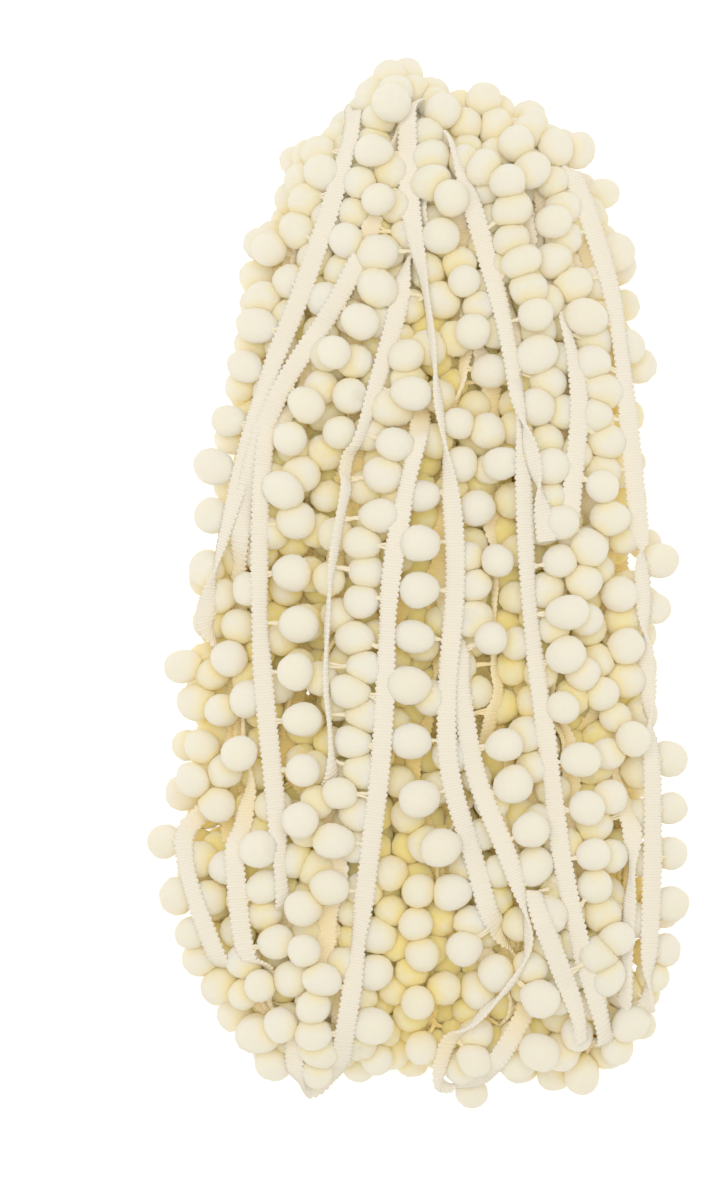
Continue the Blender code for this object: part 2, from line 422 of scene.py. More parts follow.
@dataclass
class Skein:
    """The wound trim before and after it settles.

    Attributes:
        pitch: Distance between balls along the tape.
        nodes_per_ball: Points of the tape's line for each ball.
        bare_nodes: Points at each cut that have no ball.
        hang: Distance from the tape's line to a ball's centre.
        droop: Most that a ball hangs below level at first, for one sideways.
        layer: Distance between one shell of turns and the next.
        shells: Turns in each shell, outermost first.
        head: Y at which each shell's runs start to turn over at the head.
        foot: Y at which they do so at the foot.
        fold_reach: How far past that a fold may bulge.
        fold_steps: Steps along a fold.
        run_steps: Points of a run over the top, and of one underneath.
        run_passes: How many times a run over the top is smoothed.
        shown_depth: Depth under the hank's top of a run that shows.
        hidden_depth: Depth under it of a hidden run, and height of one underneath.
        lowest: The least height of a run over the top.
        headroom: The least height of a run over the top above its way back underneath.
        inner_lean: Most that the tape leans off flat inside the hank, in degrees.
        rim: The hank counts as wide only where it is higher than this.
        rim_inset: How far inside that width the outermost shell's hidden runs stay.
        shell_inset: How much further inside each next shell stays.
        waves: Size and length of each wave of a hidden run's wandering, the length in radians.
        ball: The balls' mean radius.
        ball_spread: Most that a radius differs from it.
        seed: Seed of every random choice.
        line: Points of the tape's line, from the inner cut to the outer one.
        goal: Where they were before the skein settled.
        side: The side that the balls hang on, at each of them.
        lean: How far the tape leans off flat at each of them.
        shown: 1 where the tape lies on top of the balls.
        shell: The shell of each of them; below zero on a cut end.
        knots: The numbers of the points that balls hang from.
        balls: The balls' centres.
        radius: Their radii.
    """

    pitch: float = 0.013
    nodes_per_ball: int = 4
    bare_nodes: int = 2
    hang: float = 0.0090
    droop: float = 0.8
    layer: float = 0.0095
    shells: tuple[int, ...] = (len(TOP_RUNS), 14, 6)
    head: tuple[float, ...] = (0.126, 0.112, 0.100)
    foot: tuple[float, ...] = (-0.126, -0.123, -0.112)
    fold_reach: float = 0.015
    fold_steps: int = 18
    run_steps: int = 60
    run_passes: int = 6
    shown_depth: float = 0.001
    hidden_depth: float = 0.0055
    lowest: float = 0.012
    headroom: float = 0.002
    inner_lean: float = 60.0
    rim: float = 0.02
    rim_inset: float = 0.003
    shell_inset: float = 0.004
    waves: tuple[tuple[float, float], ...] = ((0.0040, 0.026), (0.0045, 0.048))
    ball: float = 0.0048
    ball_spread: float = 0.0004
    seed: int = 11
    line: np.ndarray = field(init=False)
    goal: np.ndarray = field(init=False)
    side: np.ndarray = field(init=False)
    lean: np.ndarray = field(init=False)
    shown: np.ndarray = field(init=False)
    shell: np.ndarray = field(init=False)
    knots: np.ndarray = field(init=False)
    balls: np.ndarray = field(init=False)
    radius: np.ndarray = field(init=False)

    def wind(self, room: Room) -> None:
        """Lays out every turn, joins them into one line, and hangs the balls on it.

        Args:
            room: The space to wind in.
        """
        rng = np.random.default_rng(self.seed)
        parts = [INNER_END.run()[::-1]]
        for shell in reversed(range(len(self.shells))):
            count = self.shells[shell]
            order = reversed(range(count)) if shell % 2 else range(count)
            parts += [self.turn(shell, place, room, rng) for place in order]
        parts.append(OUTER_END.run())
        rows = respaced(np.concatenate(parts), self.pitch / self.nodes_per_ball)
        self.line, self.side, self.lean = rows[:, :3].copy(), rows[:, 3], rows[:, 4]
        self.shown, self.shell = rows[:, 5], rows[:, 6].astype(int)
        self.goal = self.line.copy()
        last = len(self.line) - self.bare_nodes
        self.knots = np.arange(self.bare_nodes, last, self.nodes_per_ball)
        count = len(self.knots)
        self.radius = self.ball + self.ball_spread * rng.uniform(-1.0, 1.0, count)
        sideways = across(np.tile(LEFTWARDS, (count, 1)), tangents(self.line)[self.knots])
        sideways *= -self.side[self.knots, None]
        sideways[:, 2] -= rng.uniform(0.0, self.droop, count)
        self.balls = self.line[self.knots] + unit(sideways) * self.hang

    def turn(self, shell: int, place: int, room: Room, rng: np.random.Generator) -> np.ndarray:
        """One turn: over the top to the foot, round the fold, back underneath, and round the head.

        Args:
            shell: The shell it belongs to, 0 outermost.
            place: Its place across the shell, from the left.
            room: The space to wind in.
            rng: The source of random choices.

        Returns:
            Rows of X, Y, Z, side, lean, shown and shell.
        """
        head, foot = self.head[shell], self.foot[shell]
        y = np.linspace(head, foot, self.run_steps)
        fraction = (place + 0.5) / self.shells[shell]
        if shell == 0:
            run = TOP_RUNS[place]
            x = np.interp(-y, -np.array(STATIONS), run.x)
            x = smoothed(x[:, None], self.run_passes)[:, 0]
            shown = np.max([(y < a) & (y > b) for a, b in run.shows] or [y > 1.0], axis=0)
            side, lean = run.side.value, run.lean
        else:
            x = self.drifting(y, fraction, shell, room, rng)
            shown = np.zeros(len(y), dtype=bool)
            side = (Side.LEFT, Side.RIGHT)[int(rng.integers(2))].value
            lean = rng.uniform(-self.inner_lean, self.inner_lean)
        depth = np.where(shown, self.shown_depth, self.hidden_depth) + self.layer * shell
        height = np.maximum(room.top(np.stack([x, y], axis=1)) - depth, self.lowest)
        over = np.stack([x, y, height], axis=1)
        back_y = y[::-1]
        back_x = self.drifting(back_y, fraction, shell, room, rng)
        height = np.full(len(y), self.hidden_depth + self.layer * shell)
        under = np.stack([back_x, back_y, height], axis=1)
        under[:, 2] = np.minimum(under[:, 2], over[::-1, 2] - self.headroom)
        loop = TOP_RUNS[place].loop if shell == 0 else ()
        foot_fold = np.array(loop) if loop else self.fold(over[-1], under[0], -1.0)
        head_fold = self.fold(under[-1], over[0], 1.0)
        points = np.concatenate([over, foot_fold, under, head_fold])
        flags = np.zeros((len(points), 4))
        flags[:, 0], flags[:, 1], flags[:, 3] = side, lean, shell
        flags[: len(over), 2] = shown
        flags[len(over) : len(over) + len(loop), 2] = bool(shown.any())
        return np.concatenate([points, flags], axis=1)

    def drifting(
        self, y: np.ndarray, fraction: float, shell: int, room: Room, rng: np.random.Generator
    ) -> np.ndarray:
        """X of a run that keeps its share of the hank's width and wanders a little to both sides.

        Args:
            y: Where along the hank X is wanted.
            fraction: The run's share of the way across.
            shell: The shell it belongs to.
            room: The space to wind in.
            rng: The source of random choices.

        Returns:
            X at each Y: the share of the width, plus two sines of random phase.
        """
        xs = room.low[0] + room.cell * np.arange(room.roof.shape[0])
        ys = room.low[1] + room.cell * np.arange(room.roof.shape[1])
        inside = room.roof > self.rim
        wide = inside.any(axis=0)
        left = np.where(inside, xs[:, None], 1.0).min(axis=0)
        right = np.where(inside, xs[:, None], -1.0).max(axis=0)
        inset = self.rim_inset + self.shell_inset * shell
        low = np.interp(y, ys[wide], left[wide]) + inset
        high = np.interp(y, ys[wide], right[wide]) - inset
        phases = rng.uniform(0.0, 2.0 * math.pi, len(self.waves))
        waves = zip(self.waves, phases)
        wander = sum(size * np.sin(y / length + phase) for (size, length), phase in waves)
        return np.clip(low + (high - low) * fraction + wander, low, high)

    def fold(self, start: np.ndarray, end: np.ndarray, facing: float) -> np.ndarray:
        """The half turn at an end of the hank, an upright half ellipse that drifts across.

        Args:
            start: Where it starts.
            end: Where it ends.
            facing: 1 at the head, -1 at the foot.

        Returns:
            Its points, both ends left out.
        """
        angle = np.linspace(0.0, math.pi, self.fold_steps)[1:-1]
        share = (1.0 - np.cos(angle)) / 2.0
        points = start + (end - start) * share[:, None]
        reach = min(0.5 * abs(start[2] - end[2]), self.fold_reach)
        points[:, 1] += facing * reach * np.sin(angle)
        return points


@dataclass
class Settling:
    """Lets a skein settle: no ball or tape passes through another, and all stay in the room.

    Every round moves points by what is missing or too much, as position-based dynamics does.

    Attributes:
        rounds: How many rounds are run.
        search_every: Rounds between searches for neighbours.
        ball_reach: How far apart two balls may be to count as neighbours.
        tape_reach: How far apart a ball and a point of tape may be.
        crossing_reach: How far apart two points of tape may be.
        own_points: Points to each side of a ball's own that don't push it.
        own_run: Points along the tape that don't push each other.
        give: Share of their radii by which two felted balls press into each other.
        tape_gap: Least distance between a tape's line and a ball's surface.
        crossing: Least distance between two runs of tape.
        lift: How far balls are drawn each round towards the outside of the hank.
        fading: What is left of that draw from one shell to the next.
        sinking: How far a hidden run is drawn inwards, for one outwards of its balls.
        halfway: The height above which balls are drawn up as well, and below which down.
        upwards: How strongly they are drawn up above it, and up below it.
        bulge: Least and most that a ball may stand out of the room.
        floor: Least height of a ball's centre, in radii.
        pulls: Share of the way to its goal that each kind of point moves in a round: on a
            cut end, on a run that shows, and on a hidden run.
        looseness: How freely each kind of point gives way.
        insets: The least depth in the room of each kind of point.
        least_loose: What is added to that of two points of tape that share a push.
        tape_share: Share of a ball's push that a loose tape takes.
        thread_share: Share of a thread's pull that a loose tape takes.
        stiffness: Share of its bend that the tape loses in a round.
        squareness: Share of a ball's slant along the tape that it loses in a round.
        slack: Least and most length of the threads, for one of their full length.
        crowding: How much less each further neighbour pushes a point.
    """

    rounds: int = 260
    search_every: int = 8
    ball_reach: float = 0.013
    tape_reach: float = 0.0085
    crossing_reach: float = 0.005
    own_points: int = 2
    own_run: int = 8
    give: float = 0.06
    tape_gap: float = 0.0012
    crossing: float = 0.0022
    lift: float = 0.00012
    fading: float = 0.6
    sinking: float = 0.6
    halfway: float = 0.020
    upwards: tuple[float, float] = (1.2, -0.4)
    bulge: tuple[float, float] = (0.0010, 0.0060)
    floor: float = 0.96
    pulls: tuple[float, float, float] = (1.0, 0.25, 0.0)
    looseness: tuple[float, float, float] = (0.0, 0.1, 1.0)
    insets: tuple[float, float, float] = (-0.01, 0.0004, 0.0045)
    least_loose: float = 0.01
    tape_share: float = 0.25
    thread_share: float = 0.15
    stiffness: float = 0.22
    squareness: float = 0.25
    slack: tuple[float, float] = (0.92, 1.06)
    crowding: float = 0.3

    def run(self, skein: Skein, room: Room) -> None:
        """Settles the skein in place.

        Args:
            skein: The skein, whose line and balls are moved.
            room: The space that it stays in.
        """
        rounds = self.rounds
        spacing = skein.pitch / skein.nodes_per_ball
        free = skein.shell < 0
        kind = np.where(free, 0, np.where(skein.shown > 0.5, 1, 2))
        pull, loose, inset = (
            np.array(values)[kind] for values in (self.pulls, self.looseness, self.insets)
        )
        pull, loose = pull[:, None], loose[:, None]
        rate = (self.lift * self.fading ** np.maximum(skein.shell, 0))[:, None]
        bulge = np.random.default_rng(skein.seed).uniform(*self.bulge, len(skein.balls))
        upwards = np.where(skein.goal[skein.knots, 2:] > self.halfway, *self.upwards) * UP
        for turn in range(rounds):
            if turn % self.search_every == 0:
                touching = close_pairs(skein.balls, skein.balls, self.ball_reach)
                touching = tuple(side[touching[0] < touching[1]] for side in touching)
                leaning = close_pairs(skein.balls, skein.line, self.tape_reach)
                own = np.abs(skein.knots[leaning[0]] - leaning[1]) <= self.own_points
                leaning = tuple(side[~own] for side in leaning)
                crossed = close_pairs(skein.line, skein.line, self.crossing_reach)
                apart = crossed[1] - crossed[0] > self.own_run
                crossed = tuple(side[apart] for side in crossed)
                outwards = upwards - unit(room.sample(skein.balls)[:, 1:])
                outwards = unit(outwards) * rate[skein.knots]
                inwards = self.sinking * unit(room.sample(skein.line)[:, 1:]) * rate * (loose > 0.5)
            skein.balls += outwards
            skein.line += inwards
            skein.line += (skein.goal - skein.line) * pull
            self.straighten(skein, spacing, free)
            self.tether(skein, loose)
            least = (skein.radius[touching[0]] + skein.radius[touching[1]]) * (1.0 - self.give)
            self.part(skein.balls, skein.balls, touching, least, 0.5, 0.5)
            least = skein.radius[leaning[0]] + self.tape_gap
            share = self.tape_share * loose[leaning[1], 0]
            self.part(skein.balls, skein.line, leaning, least, 1.0 - share, share)
            one, other = (loose[numbers, 0] for numbers in crossed)
            share = (one + self.least_loose) / (one + other + 2.0 * self.least_loose)
            self.part(skein.line, skein.line, crossed, self.crossing, share, 1.0 - share)
            skein.balls = room.hold(skein.balls, skein.radius - bulge)
            skein.balls[:, 2] = np.maximum(skein.balls[:, 2], skein.radius * self.floor)
            skein.line = room.hold(skein.line, inset)
        skein.line[free] = skein.goal[free]
        counts = len(skein.balls), len(skein.line), rounds
        LOG.info("settled %d balls on %d points in %d rounds", *counts)

    def straighten(self, skein: Skein, spacing: float, free: np.ndarray) -> None:
        """Evens the line's bends out, then brings each step back to its length.

        Args:
            skein: The skein.
            spacing: The step's length.
            free: The points of the free ends, which stay.
        """
        line = skein.line
        bend = self.stiffness * ((line[:-2] + line[2:]) / 2.0 - line[1:-1])
        line[1:-1] += np.where(free[1:-1, None], 0.0, bend)
        for first in (0, 1):
            start, end = line[first:-1:2], line[first + 1 :: 2]
            start, end = start[: len(end)], end[: len(start)]
            gap = end - start
            length = np.linalg.norm(gap, axis=1, keepdims=True)
            push = gap * (0.5 * (1.0 - spacing / np.maximum(length, TINY)))
            start += push
            end -= push

    def tether(self, skein: Skein, loose: np.ndarray) -> None:
        """Keeps each ball at the reach of its threads, square to the tape where it can be.

        Args:
            skein: The skein.
            loose: How freely each point of the line moves.
        """
        held = skein.line[skein.knots]
        gap = skein.balls - held
        along = tangents(skein.line)[skein.knots]
        gap_square = gap - np.sum(gap * along, axis=1, keepdims=True) * along
        skein.balls += (gap_square - gap) * self.squareness
        gap = skein.balls - held
        length = np.linalg.norm(gap, axis=1, keepdims=True)
        wanted = np.clip(length, *(skein.hang * reach for reach in self.slack))
        push = gap / np.maximum(length, TINY) * (wanted - length)
        share = self.thread_share * loose[skein.knots]
        skein.balls += push * (1.0 - share)
        skein.line[skein.knots] -= push * share

    def part(
        self,
        first: np.ndarray,
        second: np.ndarray,
        pairs: tuple[np.ndarray, np.ndarray],
        least: np.ndarray | float,
        first_share: np.ndarray | float,
        second_share: np.ndarray | float,
    ) -> None:
        """Moves the points of each pair apart until they are the least distance from each other.

        Args:
            first: Points that the pairs' first indices name, moved in place.
            second: Points that the pairs' second indices name, moved in place.
            pairs: The indices.
            least: The least distance of each pair.
            first_share: The share of the push that the first point takes.
            second_share: The share of the push that the second point takes.
        """
        a, b = pairs
        gap = first[a] - second[b]
        length = np.linalg.norm(gap, axis=1)
        missing = np.maximum(0.0, least - length)
        push = gap / np.maximum(length, TINY)[:, None] * missing[:, None]
        takers = (first, a, first_share, 1.0), (second, b, second_share, -1.0)
        for points, index, share, sign in takers:
            total = np.zeros_like(points)
            number = np.zeros(len(points))
            np.add.at(total, index, push * np.broadcast_to(share, missing.shape)[:, None] * sign)
            np.add.at(number, index, missing > 0.0)
            points += total / (1.0 + self.crowding * np.maximum(number - 1.0, 0.0))[:, None]


@dataclass
class Quads:
    """A surface made of four-cornered faces, with values at its points.

    Attributes:
        points: One point a row.
        faces: Four point numbers a row, seen from outside anticlockwise.
        uv: Across and along, in metres, for each point, where a pattern follows the surface.
        values: Named numbers, one for each point.
    """

    points: np.ndarray
    faces: np.ndarray
    uv: np.ndarray | None = None
    values: dict[str, np.ndarray] = field(default_factory=dict)

    def piece(self, name: str, material: bpy.types.Material, slot: Slot) -> bpy.types.Object:
        """Puts the surface into a mesh object that rides on the hank.

        Args:
            name: The piece's name.
            material: Its finish.
            slot: Not used.

        Returns:
            The object, at the origin.
        """
        mesh = bpy.data.meshes.new(name)
        mesh.vertices.add(len(self.points))
        mesh.vertices.foreach_set("co", self.points.astype(np.float32).ravel())
        mesh.loops.add(self.faces.size)
        mesh.loops.foreach_set("vertex_index", self.faces.astype(np.int32).ravel())
        mesh.polygons.add(len(self.faces))
        mesh.polygons.foreach_set("loop_start", np.arange(0, self.faces.size, 4, dtype=np.int32))
        mesh.update(calc_edges=True)
        if self.uv is not None:
            layer = mesh.uv_layers.new(name=TRIM_UV)
            layer.data.foreach_set("uv", self.uv[self.faces.ravel()].astype(np.float32).ravel())
        for key, numbers in self.values.items():
            attribute = mesh.attributes.new(key, "FLOAT", "POINT")
            attribute.data.foreach_set("value", numbers.astype(np.float32).ravel())
        mesh.shade_smooth()
        mesh.materials.append(material)
        made = bpy.data.objects.new(name, mesh)
        bpy.context.collection.objects.link(made)
        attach(made, BODY)
        LOG.info("%s: %d faces", name, len(self.faces))
        return made


def tube_faces(rings: int, sides: int) -> np.ndarray:
    """Faces of a closed tube whose ends are shut by strips of four-cornered faces.

    Args:
        rings: Rings along the tube, each a loop of points in turn.
        sides: Points in a ring, an even number.

    Returns:
        Four point numbers a row.
    """
    ring, side = np.meshgrid(np.arange(rings - 1), np.arange(sides), indexing="ij")
    after = (side + 1) % sides
    low, high = ring * sides, (ring + 1) * sides
    walls = np.stack([low + side, low + after, high + after, high + side], axis=-1).reshape(-1, 4)
    i = np.arange(sides // 2 - 1)
    cap = np.stack([i, sides - 1 - i, sides - 2 - i, i + 1], axis=1)
    return np.concatenate([walls, cap, cap[:, ::-1] + (rings - 1) * sides])


def repeated(faces: np.ndarray, count: int, points: int) -> np.ndarray:
    """One shell's faces for each of a row of shells that follow each other in one surface.

    Args:
        faces: The first shell's faces.
        count: How many shells there are.
        points: Points in each.

    Returns:
        Every shell's faces: the first's, plus the points of the shells before.
    """
    return (faces + (np.arange(count) * points)[:, None, None]).reshape(-1, 4)


@dataclass(frozen=True)
class Gimp:
    """The ribbed tape: cords laid across it, and an edge scalloped where each cord turns back.

    Attributes:
        width: Width over the scallops.
        thickness: Thickness over a rib.
        rib: Distance from one rib to the next.
        scallop: Share of the width that is lost between two ribs.
        furrow: Share of the thickness that is lost between two ribs.
        cup: How far the tape's edges stand above its middle.
        places: The section's points across the tape, in half widths, anticlockwise.
        levels: Their heights, in half thicknesses.
    """

    width: float = 0.0053
    thickness: float = 0.0011
    rib: float = 0.0015
    scallop: float = 0.18
    furrow: float = 0.22
    cup: float = 0.0002
    places: tuple[float, ...] = (-1.0, -0.45, 0.45, 1.0, 1.0, 0.45, -0.45, -1.0)
    levels: tuple[float, ...] = (0.55, 1.0, 1.0, 0.55, -0.55, -1.0, -1.0, -0.55)

    def surface(
        self, line: np.ndarray, widthways: np.ndarray, rings_per_rib: int, start: float
    ) -> Quads:
        """The tape's surface, its section carried along a line.

        A section has eight points, four on each face. Both its width and its thickness are full
        on a rib and drawn in at the furrow before it.

        Args:
            line: Points that the middle of the tape passes through.
            widthways: The direction across the tape at each of them.
            rings_per_rib: Sections for each rib, one of them in the furrow.
            start: How far along the whole trim the line starts.

        Returns:
            The closed surface, with its distances across and along as UV.
        """
        spacing = self.rib / rings_per_rib
        path, side = spline(line, widthways, spacing)
        along = tangents(path)
        side = across(side, along)
        face = np.cross(side, along)
        ring = np.arange(len(path))
        furrow = ((ring % rings_per_rib == 0) & (rings_per_rib > 1)).astype(float)
        half = self.width / 2.0 * (1.0 - self.scallop * furrow)
        thick = self.thickness / 2.0 * (1.0 - self.furrow * furrow)
        places = np.array(self.places)
        u = half[:, None] * places
        w = thick[:, None] * np.array(self.levels) + self.cup * places**2
        points = path[:, None] + side[:, None] * u[..., None] + face[:, None] * w[..., None]
        v = np.broadcast_to((start + ring * spacing)[:, None], u.shape)
        uv = np.stack([u, v], axis=-1).reshape(-1, 2)
        return Quads(points.reshape(-1, 3), tube_faces(len(path), len(places)), uv)


def spline(
    line: np.ndarray, carried: np.ndarray, spacing: float
) -> tuple[np.ndarray, np.ndarray]:
    """A smooth curve through points, and directions carried along it.

    The curve is cubic between two points, and its slope at each is half the step past it.

    Args:
        line: Points, evenly spaced.
        carried: A direction at each.
        spacing: The distance wanted between the curve's points.

    Returns:
        Points on the curve, and the directions there at length one.
    """
    length = float(np.linalg.norm(np.diff(line, axis=0), axis=1).sum())
    # The last place stays just short of the last point, so that it has a step after it.
    place = np.linspace(0.0, len(line) - 1.000001, max(4, round(length / spacing) + 1))
    base = place.astype(int)
    t = (place - base)[:, None]
    padded = np.concatenate([2.0 * line[:1] - line[1:2], line, 2.0 * line[-1:] - line[-2:-1]])
    p0, p1, p2, p3 = (padded[base + step] for step in range(4))
    curve = p1 + 0.5 * t * (
        p2 - p0 + t * (2.0 * p0 - 5.0 * p1 + 4.0 * p2 - p3 + t * (3.0 * (p1 - p2) + p3 - p0))
    )
    return curve, unit(carried[base] * (1.0 - t) + carried[base + 1] * t)


@dataclass(frozen=True)
class Ball:
    """A felted ball: a round one drawn a little towards the threads it hangs on.

    Attributes:
        steps: Faces along each edge of the cube that the ball is rounded from.
        stretch: Least and most length along its threads, in radii.
        girth: Least and most width, in radii.
        taper: How much narrower it is at its threads.
        dimple: How far the threads pull their end in, in radii.
        neck: How far towards the threads the dimple starts, in radii.
        lump: How uneven the ball is, in radii.
        lumps: How many lumps it has, as the spread of their waves' numbers.
    """

    steps: int = 4
    stretch: tuple[float, float] = (1.00, 1.26)
    girth: tuple[float, float] = (0.93, 1.02)
    taper: float = 0.09
    dimple: float = 0.05
    neck: float = 0.75
    lump: float = 0.022
    lumps: float = 2.2

    def cage(self) -> tuple[np.ndarray, np.ndarray]:
        """A cube's faces divided at equal angles and pushed out to a ball of radius one.

        Returns:
            Its points and its faces.
        """
        angles = np.tan(np.linspace(-math.pi / 4.0, math.pi / 4.0, self.steps + 1))
        u, v = np.meshgrid(angles, angles, indexing="ij")
        number = np.arange(u.size).reshape(u.shape)
        corners = number[:-1, :-1], number[1:, :-1], number[1:, 1:], number[:-1, 1:]
        one = np.stack(corners, axis=-1).reshape(-1, 4)
        points, faces = [], []
        for axis in range(3):
            for sign in (1.0, -1.0):
                face = np.stack([np.full(u.size, sign), u.ravel(), v.ravel()], axis=1)
                face = np.roll(face, axis, axis=1)
                faces.append((one if sign > 0.0 else one[:, ::-1]) + u.size * len(points))
                points.append(face)
        every = unit(np.concatenate(points))
        _, first, merged = np.unique(
            np.round(every, 6), axis=0, return_index=True, return_inverse=True
        )
        return every[first], merged.reshape(-1)[np.concatenate(faces)]

    def shaped(
        self, centres: np.ndarray, radii: np.ndarray, pull: np.ndarray, seed: int
    ) -> tuple[np.ndarray, np.ndarray]:
        """Every ball's points.

        Args:
            centres: Where the balls are.
            radii: Their radii.
            pull: The direction from each towards its threads.
            seed: Seed of their unevenness.

        Returns:
            Points by ball and by cage point, and one ball's faces.
        """
        rng = np.random.default_rng(seed)
        cage, faces = self.cage()
        count = len(centres)
        spin = unit(rng.normal(size=(count, 3)))
        second = across(spin, pull)
        third = np.cross(pull, second)
        ends = cage[:, 0]
        length = rng.uniform(*self.stretch, count)[:, None] * ends
        end = np.clip(ends - self.neck, 0.0, 1.0) / (1.0 - self.neck)
        length = length - self.dimple * end * np.clip(ends, 0.0, 1.0)
        girths = rng.uniform(*self.girth, (count, 2, 1))
        narrowed = 1.0 - self.taper * ends
        waves = rng.normal(size=(count, 3, 3)) * self.lumps
        phases = rng.uniform(0.0, 2.0 * math.pi, (count, 3, 1))
        lumps = 1.0 + self.lump * np.sin(waves @ cage.T + phases).sum(axis=1)
        size = radii[:, None] * lumps
        points = centres[:, None] + pull[:, None] * (length * size)[..., None]
        points += second[:, None] * (cage[:, 1] * girths[:, 0] * narrowed * size)[..., None]
        points += third[:, None] * (cage[:, 2] * girths[:, 1] * narrowed * size)[..., None]
        return points, faces


def pressed(
    points: np.ndarray, near: np.ndarray, which: np.ndarray, walls: np.ndarray, facing: np.ndarray
) -> None:
    """Presses balls flat against planes, in place, and marks where contact shade is painted.

    Args:
        points: Points by ball and by cage point.
        near: Painted contact shade mask, from 0 at PAINTED_SHADE_REACH off a plane to 1 on it,
            updated in place.
        which: The ball that each plane presses on.
        walls: A point on each plane.
        facing: The direction from the ball to each plane.
    """
    past = np.einsum("pvc,pc->pv", points[which] - walls[:, None], facing)
    np.maximum.at(near, which, np.clip(1.0 + past / PAINTED_SHADE_REACH, 0.0, 1.0))
    np.subtract.at(points, which, np.maximum(past, 0.0)[..., None] * facing[:, None])


@dataclass(frozen=True)
class DropThreads:
    """The short threads by which a ball hangs on the tape's edge.

    Attributes:
        diameter: One thread's diameter.
        spread: Distance of a thread's middle from the middle of the twist.
        flare: How much further apart two threads are where they leave the tape.
        twist: How far they wind round each other, in radians.
        flatness: Share of the twist's height that is lost where they leave the tape.
        threads: Threads to a ball.
        rings: Rings along a thread.
    """

    diameter: float = 0.0007
    spread: float = 0.00034
    flare: float = 0.00045
    twist: float = 2.6
    flatness: float = 0.7
    threads: int = 3
    rings: int = 5

    def surface(
        self, starts: np.ndarray, ends: np.ndarray, along: np.ndarray, seed: int
    ) -> Quads:
        """Every thread of a set of balls, each a closed tube of four sides.

        Args:
            starts: Where each ball's threads leave the tape.
            ends: Where they reach the ball.
            along: The tape's direction there.
            seed: Seed of each twist's start.

        Returns:
            One surface.
        """
        rng = np.random.default_rng(seed)
        count = len(starts) * self.threads
        number = np.tile(np.arange(self.threads), len(starts))
        place = (number - (self.threads - 1) / 2.0)[:, None, None]
        phase = np.repeat(rng.uniform(0.0, 2.0 * math.pi, len(starts)), self.threads)
        phase += number * 2.0 * math.pi / self.threads
        along = np.repeat(along, self.threads, axis=0)
        start, end = (np.repeat(points, self.threads, axis=0) for points in (starts, ends))
        beside = np.cross(unit(end - start), along)
        t = np.linspace(0.0, 1.0, self.rings)[None, :, None]
        angle = phase[:, None, None] + self.twist * t
        path = start[:, None] * (1.0 - t) + end[:, None] * t
        early = (1.0 - t) ** 2
        path += along[:, None] * (np.cos(angle) * self.spread + place * self.flare * early)
        path += beside[:, None] * (np.sin(angle) * self.spread * (1.0 - self.flatness * early))
        forward = unit(end - start)
        first = across(rng.normal(size=(count, 3)), forward)
        second = np.cross(forward, first)
        turn = np.array([(1.0, 0.0), (0.0, 1.0), (-1.0, 0.0), (0.0, -1.0)])
        ring = first[:, None] * turn[:, :1] + second[:, None] * turn[:, 1:]
        points = path[:, :, None] + ring[:, None] * (self.diameter / 2.0)
        sides = len(turn)
        faces = repeated(tube_faces(self.rings, sides), count, self.rings * sides)
        return Quads(points.reshape(-1, 3), faces)


@dataclass
class Wiring:
    """Adds nodes to a tree and links them in one call.

    Attributes:
        tree: The node tree.
    """

    tree: bpy.types.NodeTree

    def add(
        self, kind: str, inputs: dict[int | str, object] | None = None, **settings: object
    ) -> bpy.types.Node:
        """Adds a node.

        Args:
            kind: The node's type.
            inputs: A socket to link from, or a value to set, for each named or numbered input.
            **settings: Properties of the node.

        Returns:
            The node.
        """
        node = self.tree.nodes.new(kind)
        for name, value in settings.items():
            setattr(node, name, value)
        for socket, value in (inputs or {}).items():
            if isinstance(value, bpy.types.NodeSocket):
                self.tree.links.new(value, node.inputs[socket])
            else:
                node.inputs[socket].default_value = value
        return node

    def math(self, operation: str, *values: object) -> bpy.types.NodeSocket:
        """Adds a Math node and returns its result."""
        return self.add("ShaderNodeMath", dict(enumerate(values)), operation=operation).outputs[0]

    def weighed(
        self, first: object, first_weight: float, second: object, second_weight: float
    ) -> bpy.types.NodeSocket:
        """Adds two values, each times its weight, and returns the sum.

        Args:
            first: One value.
            first_weight: Its weight.
            second: The other value.
            second_weight: Its weight.

        Returns:
            The socket that gives the sum.
        """
        terms = (first, first_weight), (second, second_weight)
        return self.math("ADD", *(self.math("MULTIPLY", *term) for term in terms))

    def blend(self, share: object, first: object, second: object) -> bpy.types.NodeSocket:
        """Adds a colour Mix node and returns its colour: first at share 0, second at share 1."""
        mix = self.add("ShaderNodeMix", {0: share, 6: first, 7: second}, data_type="RGBA")
        return mix.outputs[2]

    def noise(
        self, place: object, scale: float, detail: float, rough: float
    ) -> bpy.types.NodeSocket:
        """Adds a Noise Texture node and returns its value."""
        inputs = {"Vector": place, "Scale": scale, "Detail": detail, "Roughness": rough}
        return self.add("ShaderNodeTexNoise", inputs).outputs["Fac"]


def group(
    name: str, inputs: dict[str, str], outputs: dict[str, str]
) -> tuple[Wiring, dict[str, bpy.types.NodeSocket], dict[str, bpy.types.NodeSocket]]:
    """A new shader node group with its sockets.

    Args:
        name: The group's name.
        inputs: The socket type of each input.
        outputs: The socket type of each output.

    Returns:
        The group's wiring, the sockets its inputs arrive on, and the sockets its outputs leave on.
    """
    tree = bpy.data.node_groups.new(name, "ShaderNodeTree")
    for key, kind in inputs.items():
        tree.interface.new_socket(key, in_out="INPUT", socket_type=kind)
    for key, kind in outputs.items():
        tree.interface.new_socket(key, in_out="OUTPUT", socket_type=kind)
    wiring = Wiring(tree)
    arrive, leave = wiring.add("NodeGroupInput"), wiring.add("NodeGroupOutput")
    return wiring, dict(arrive.outputs.items()), dict(leave.inputs.items())


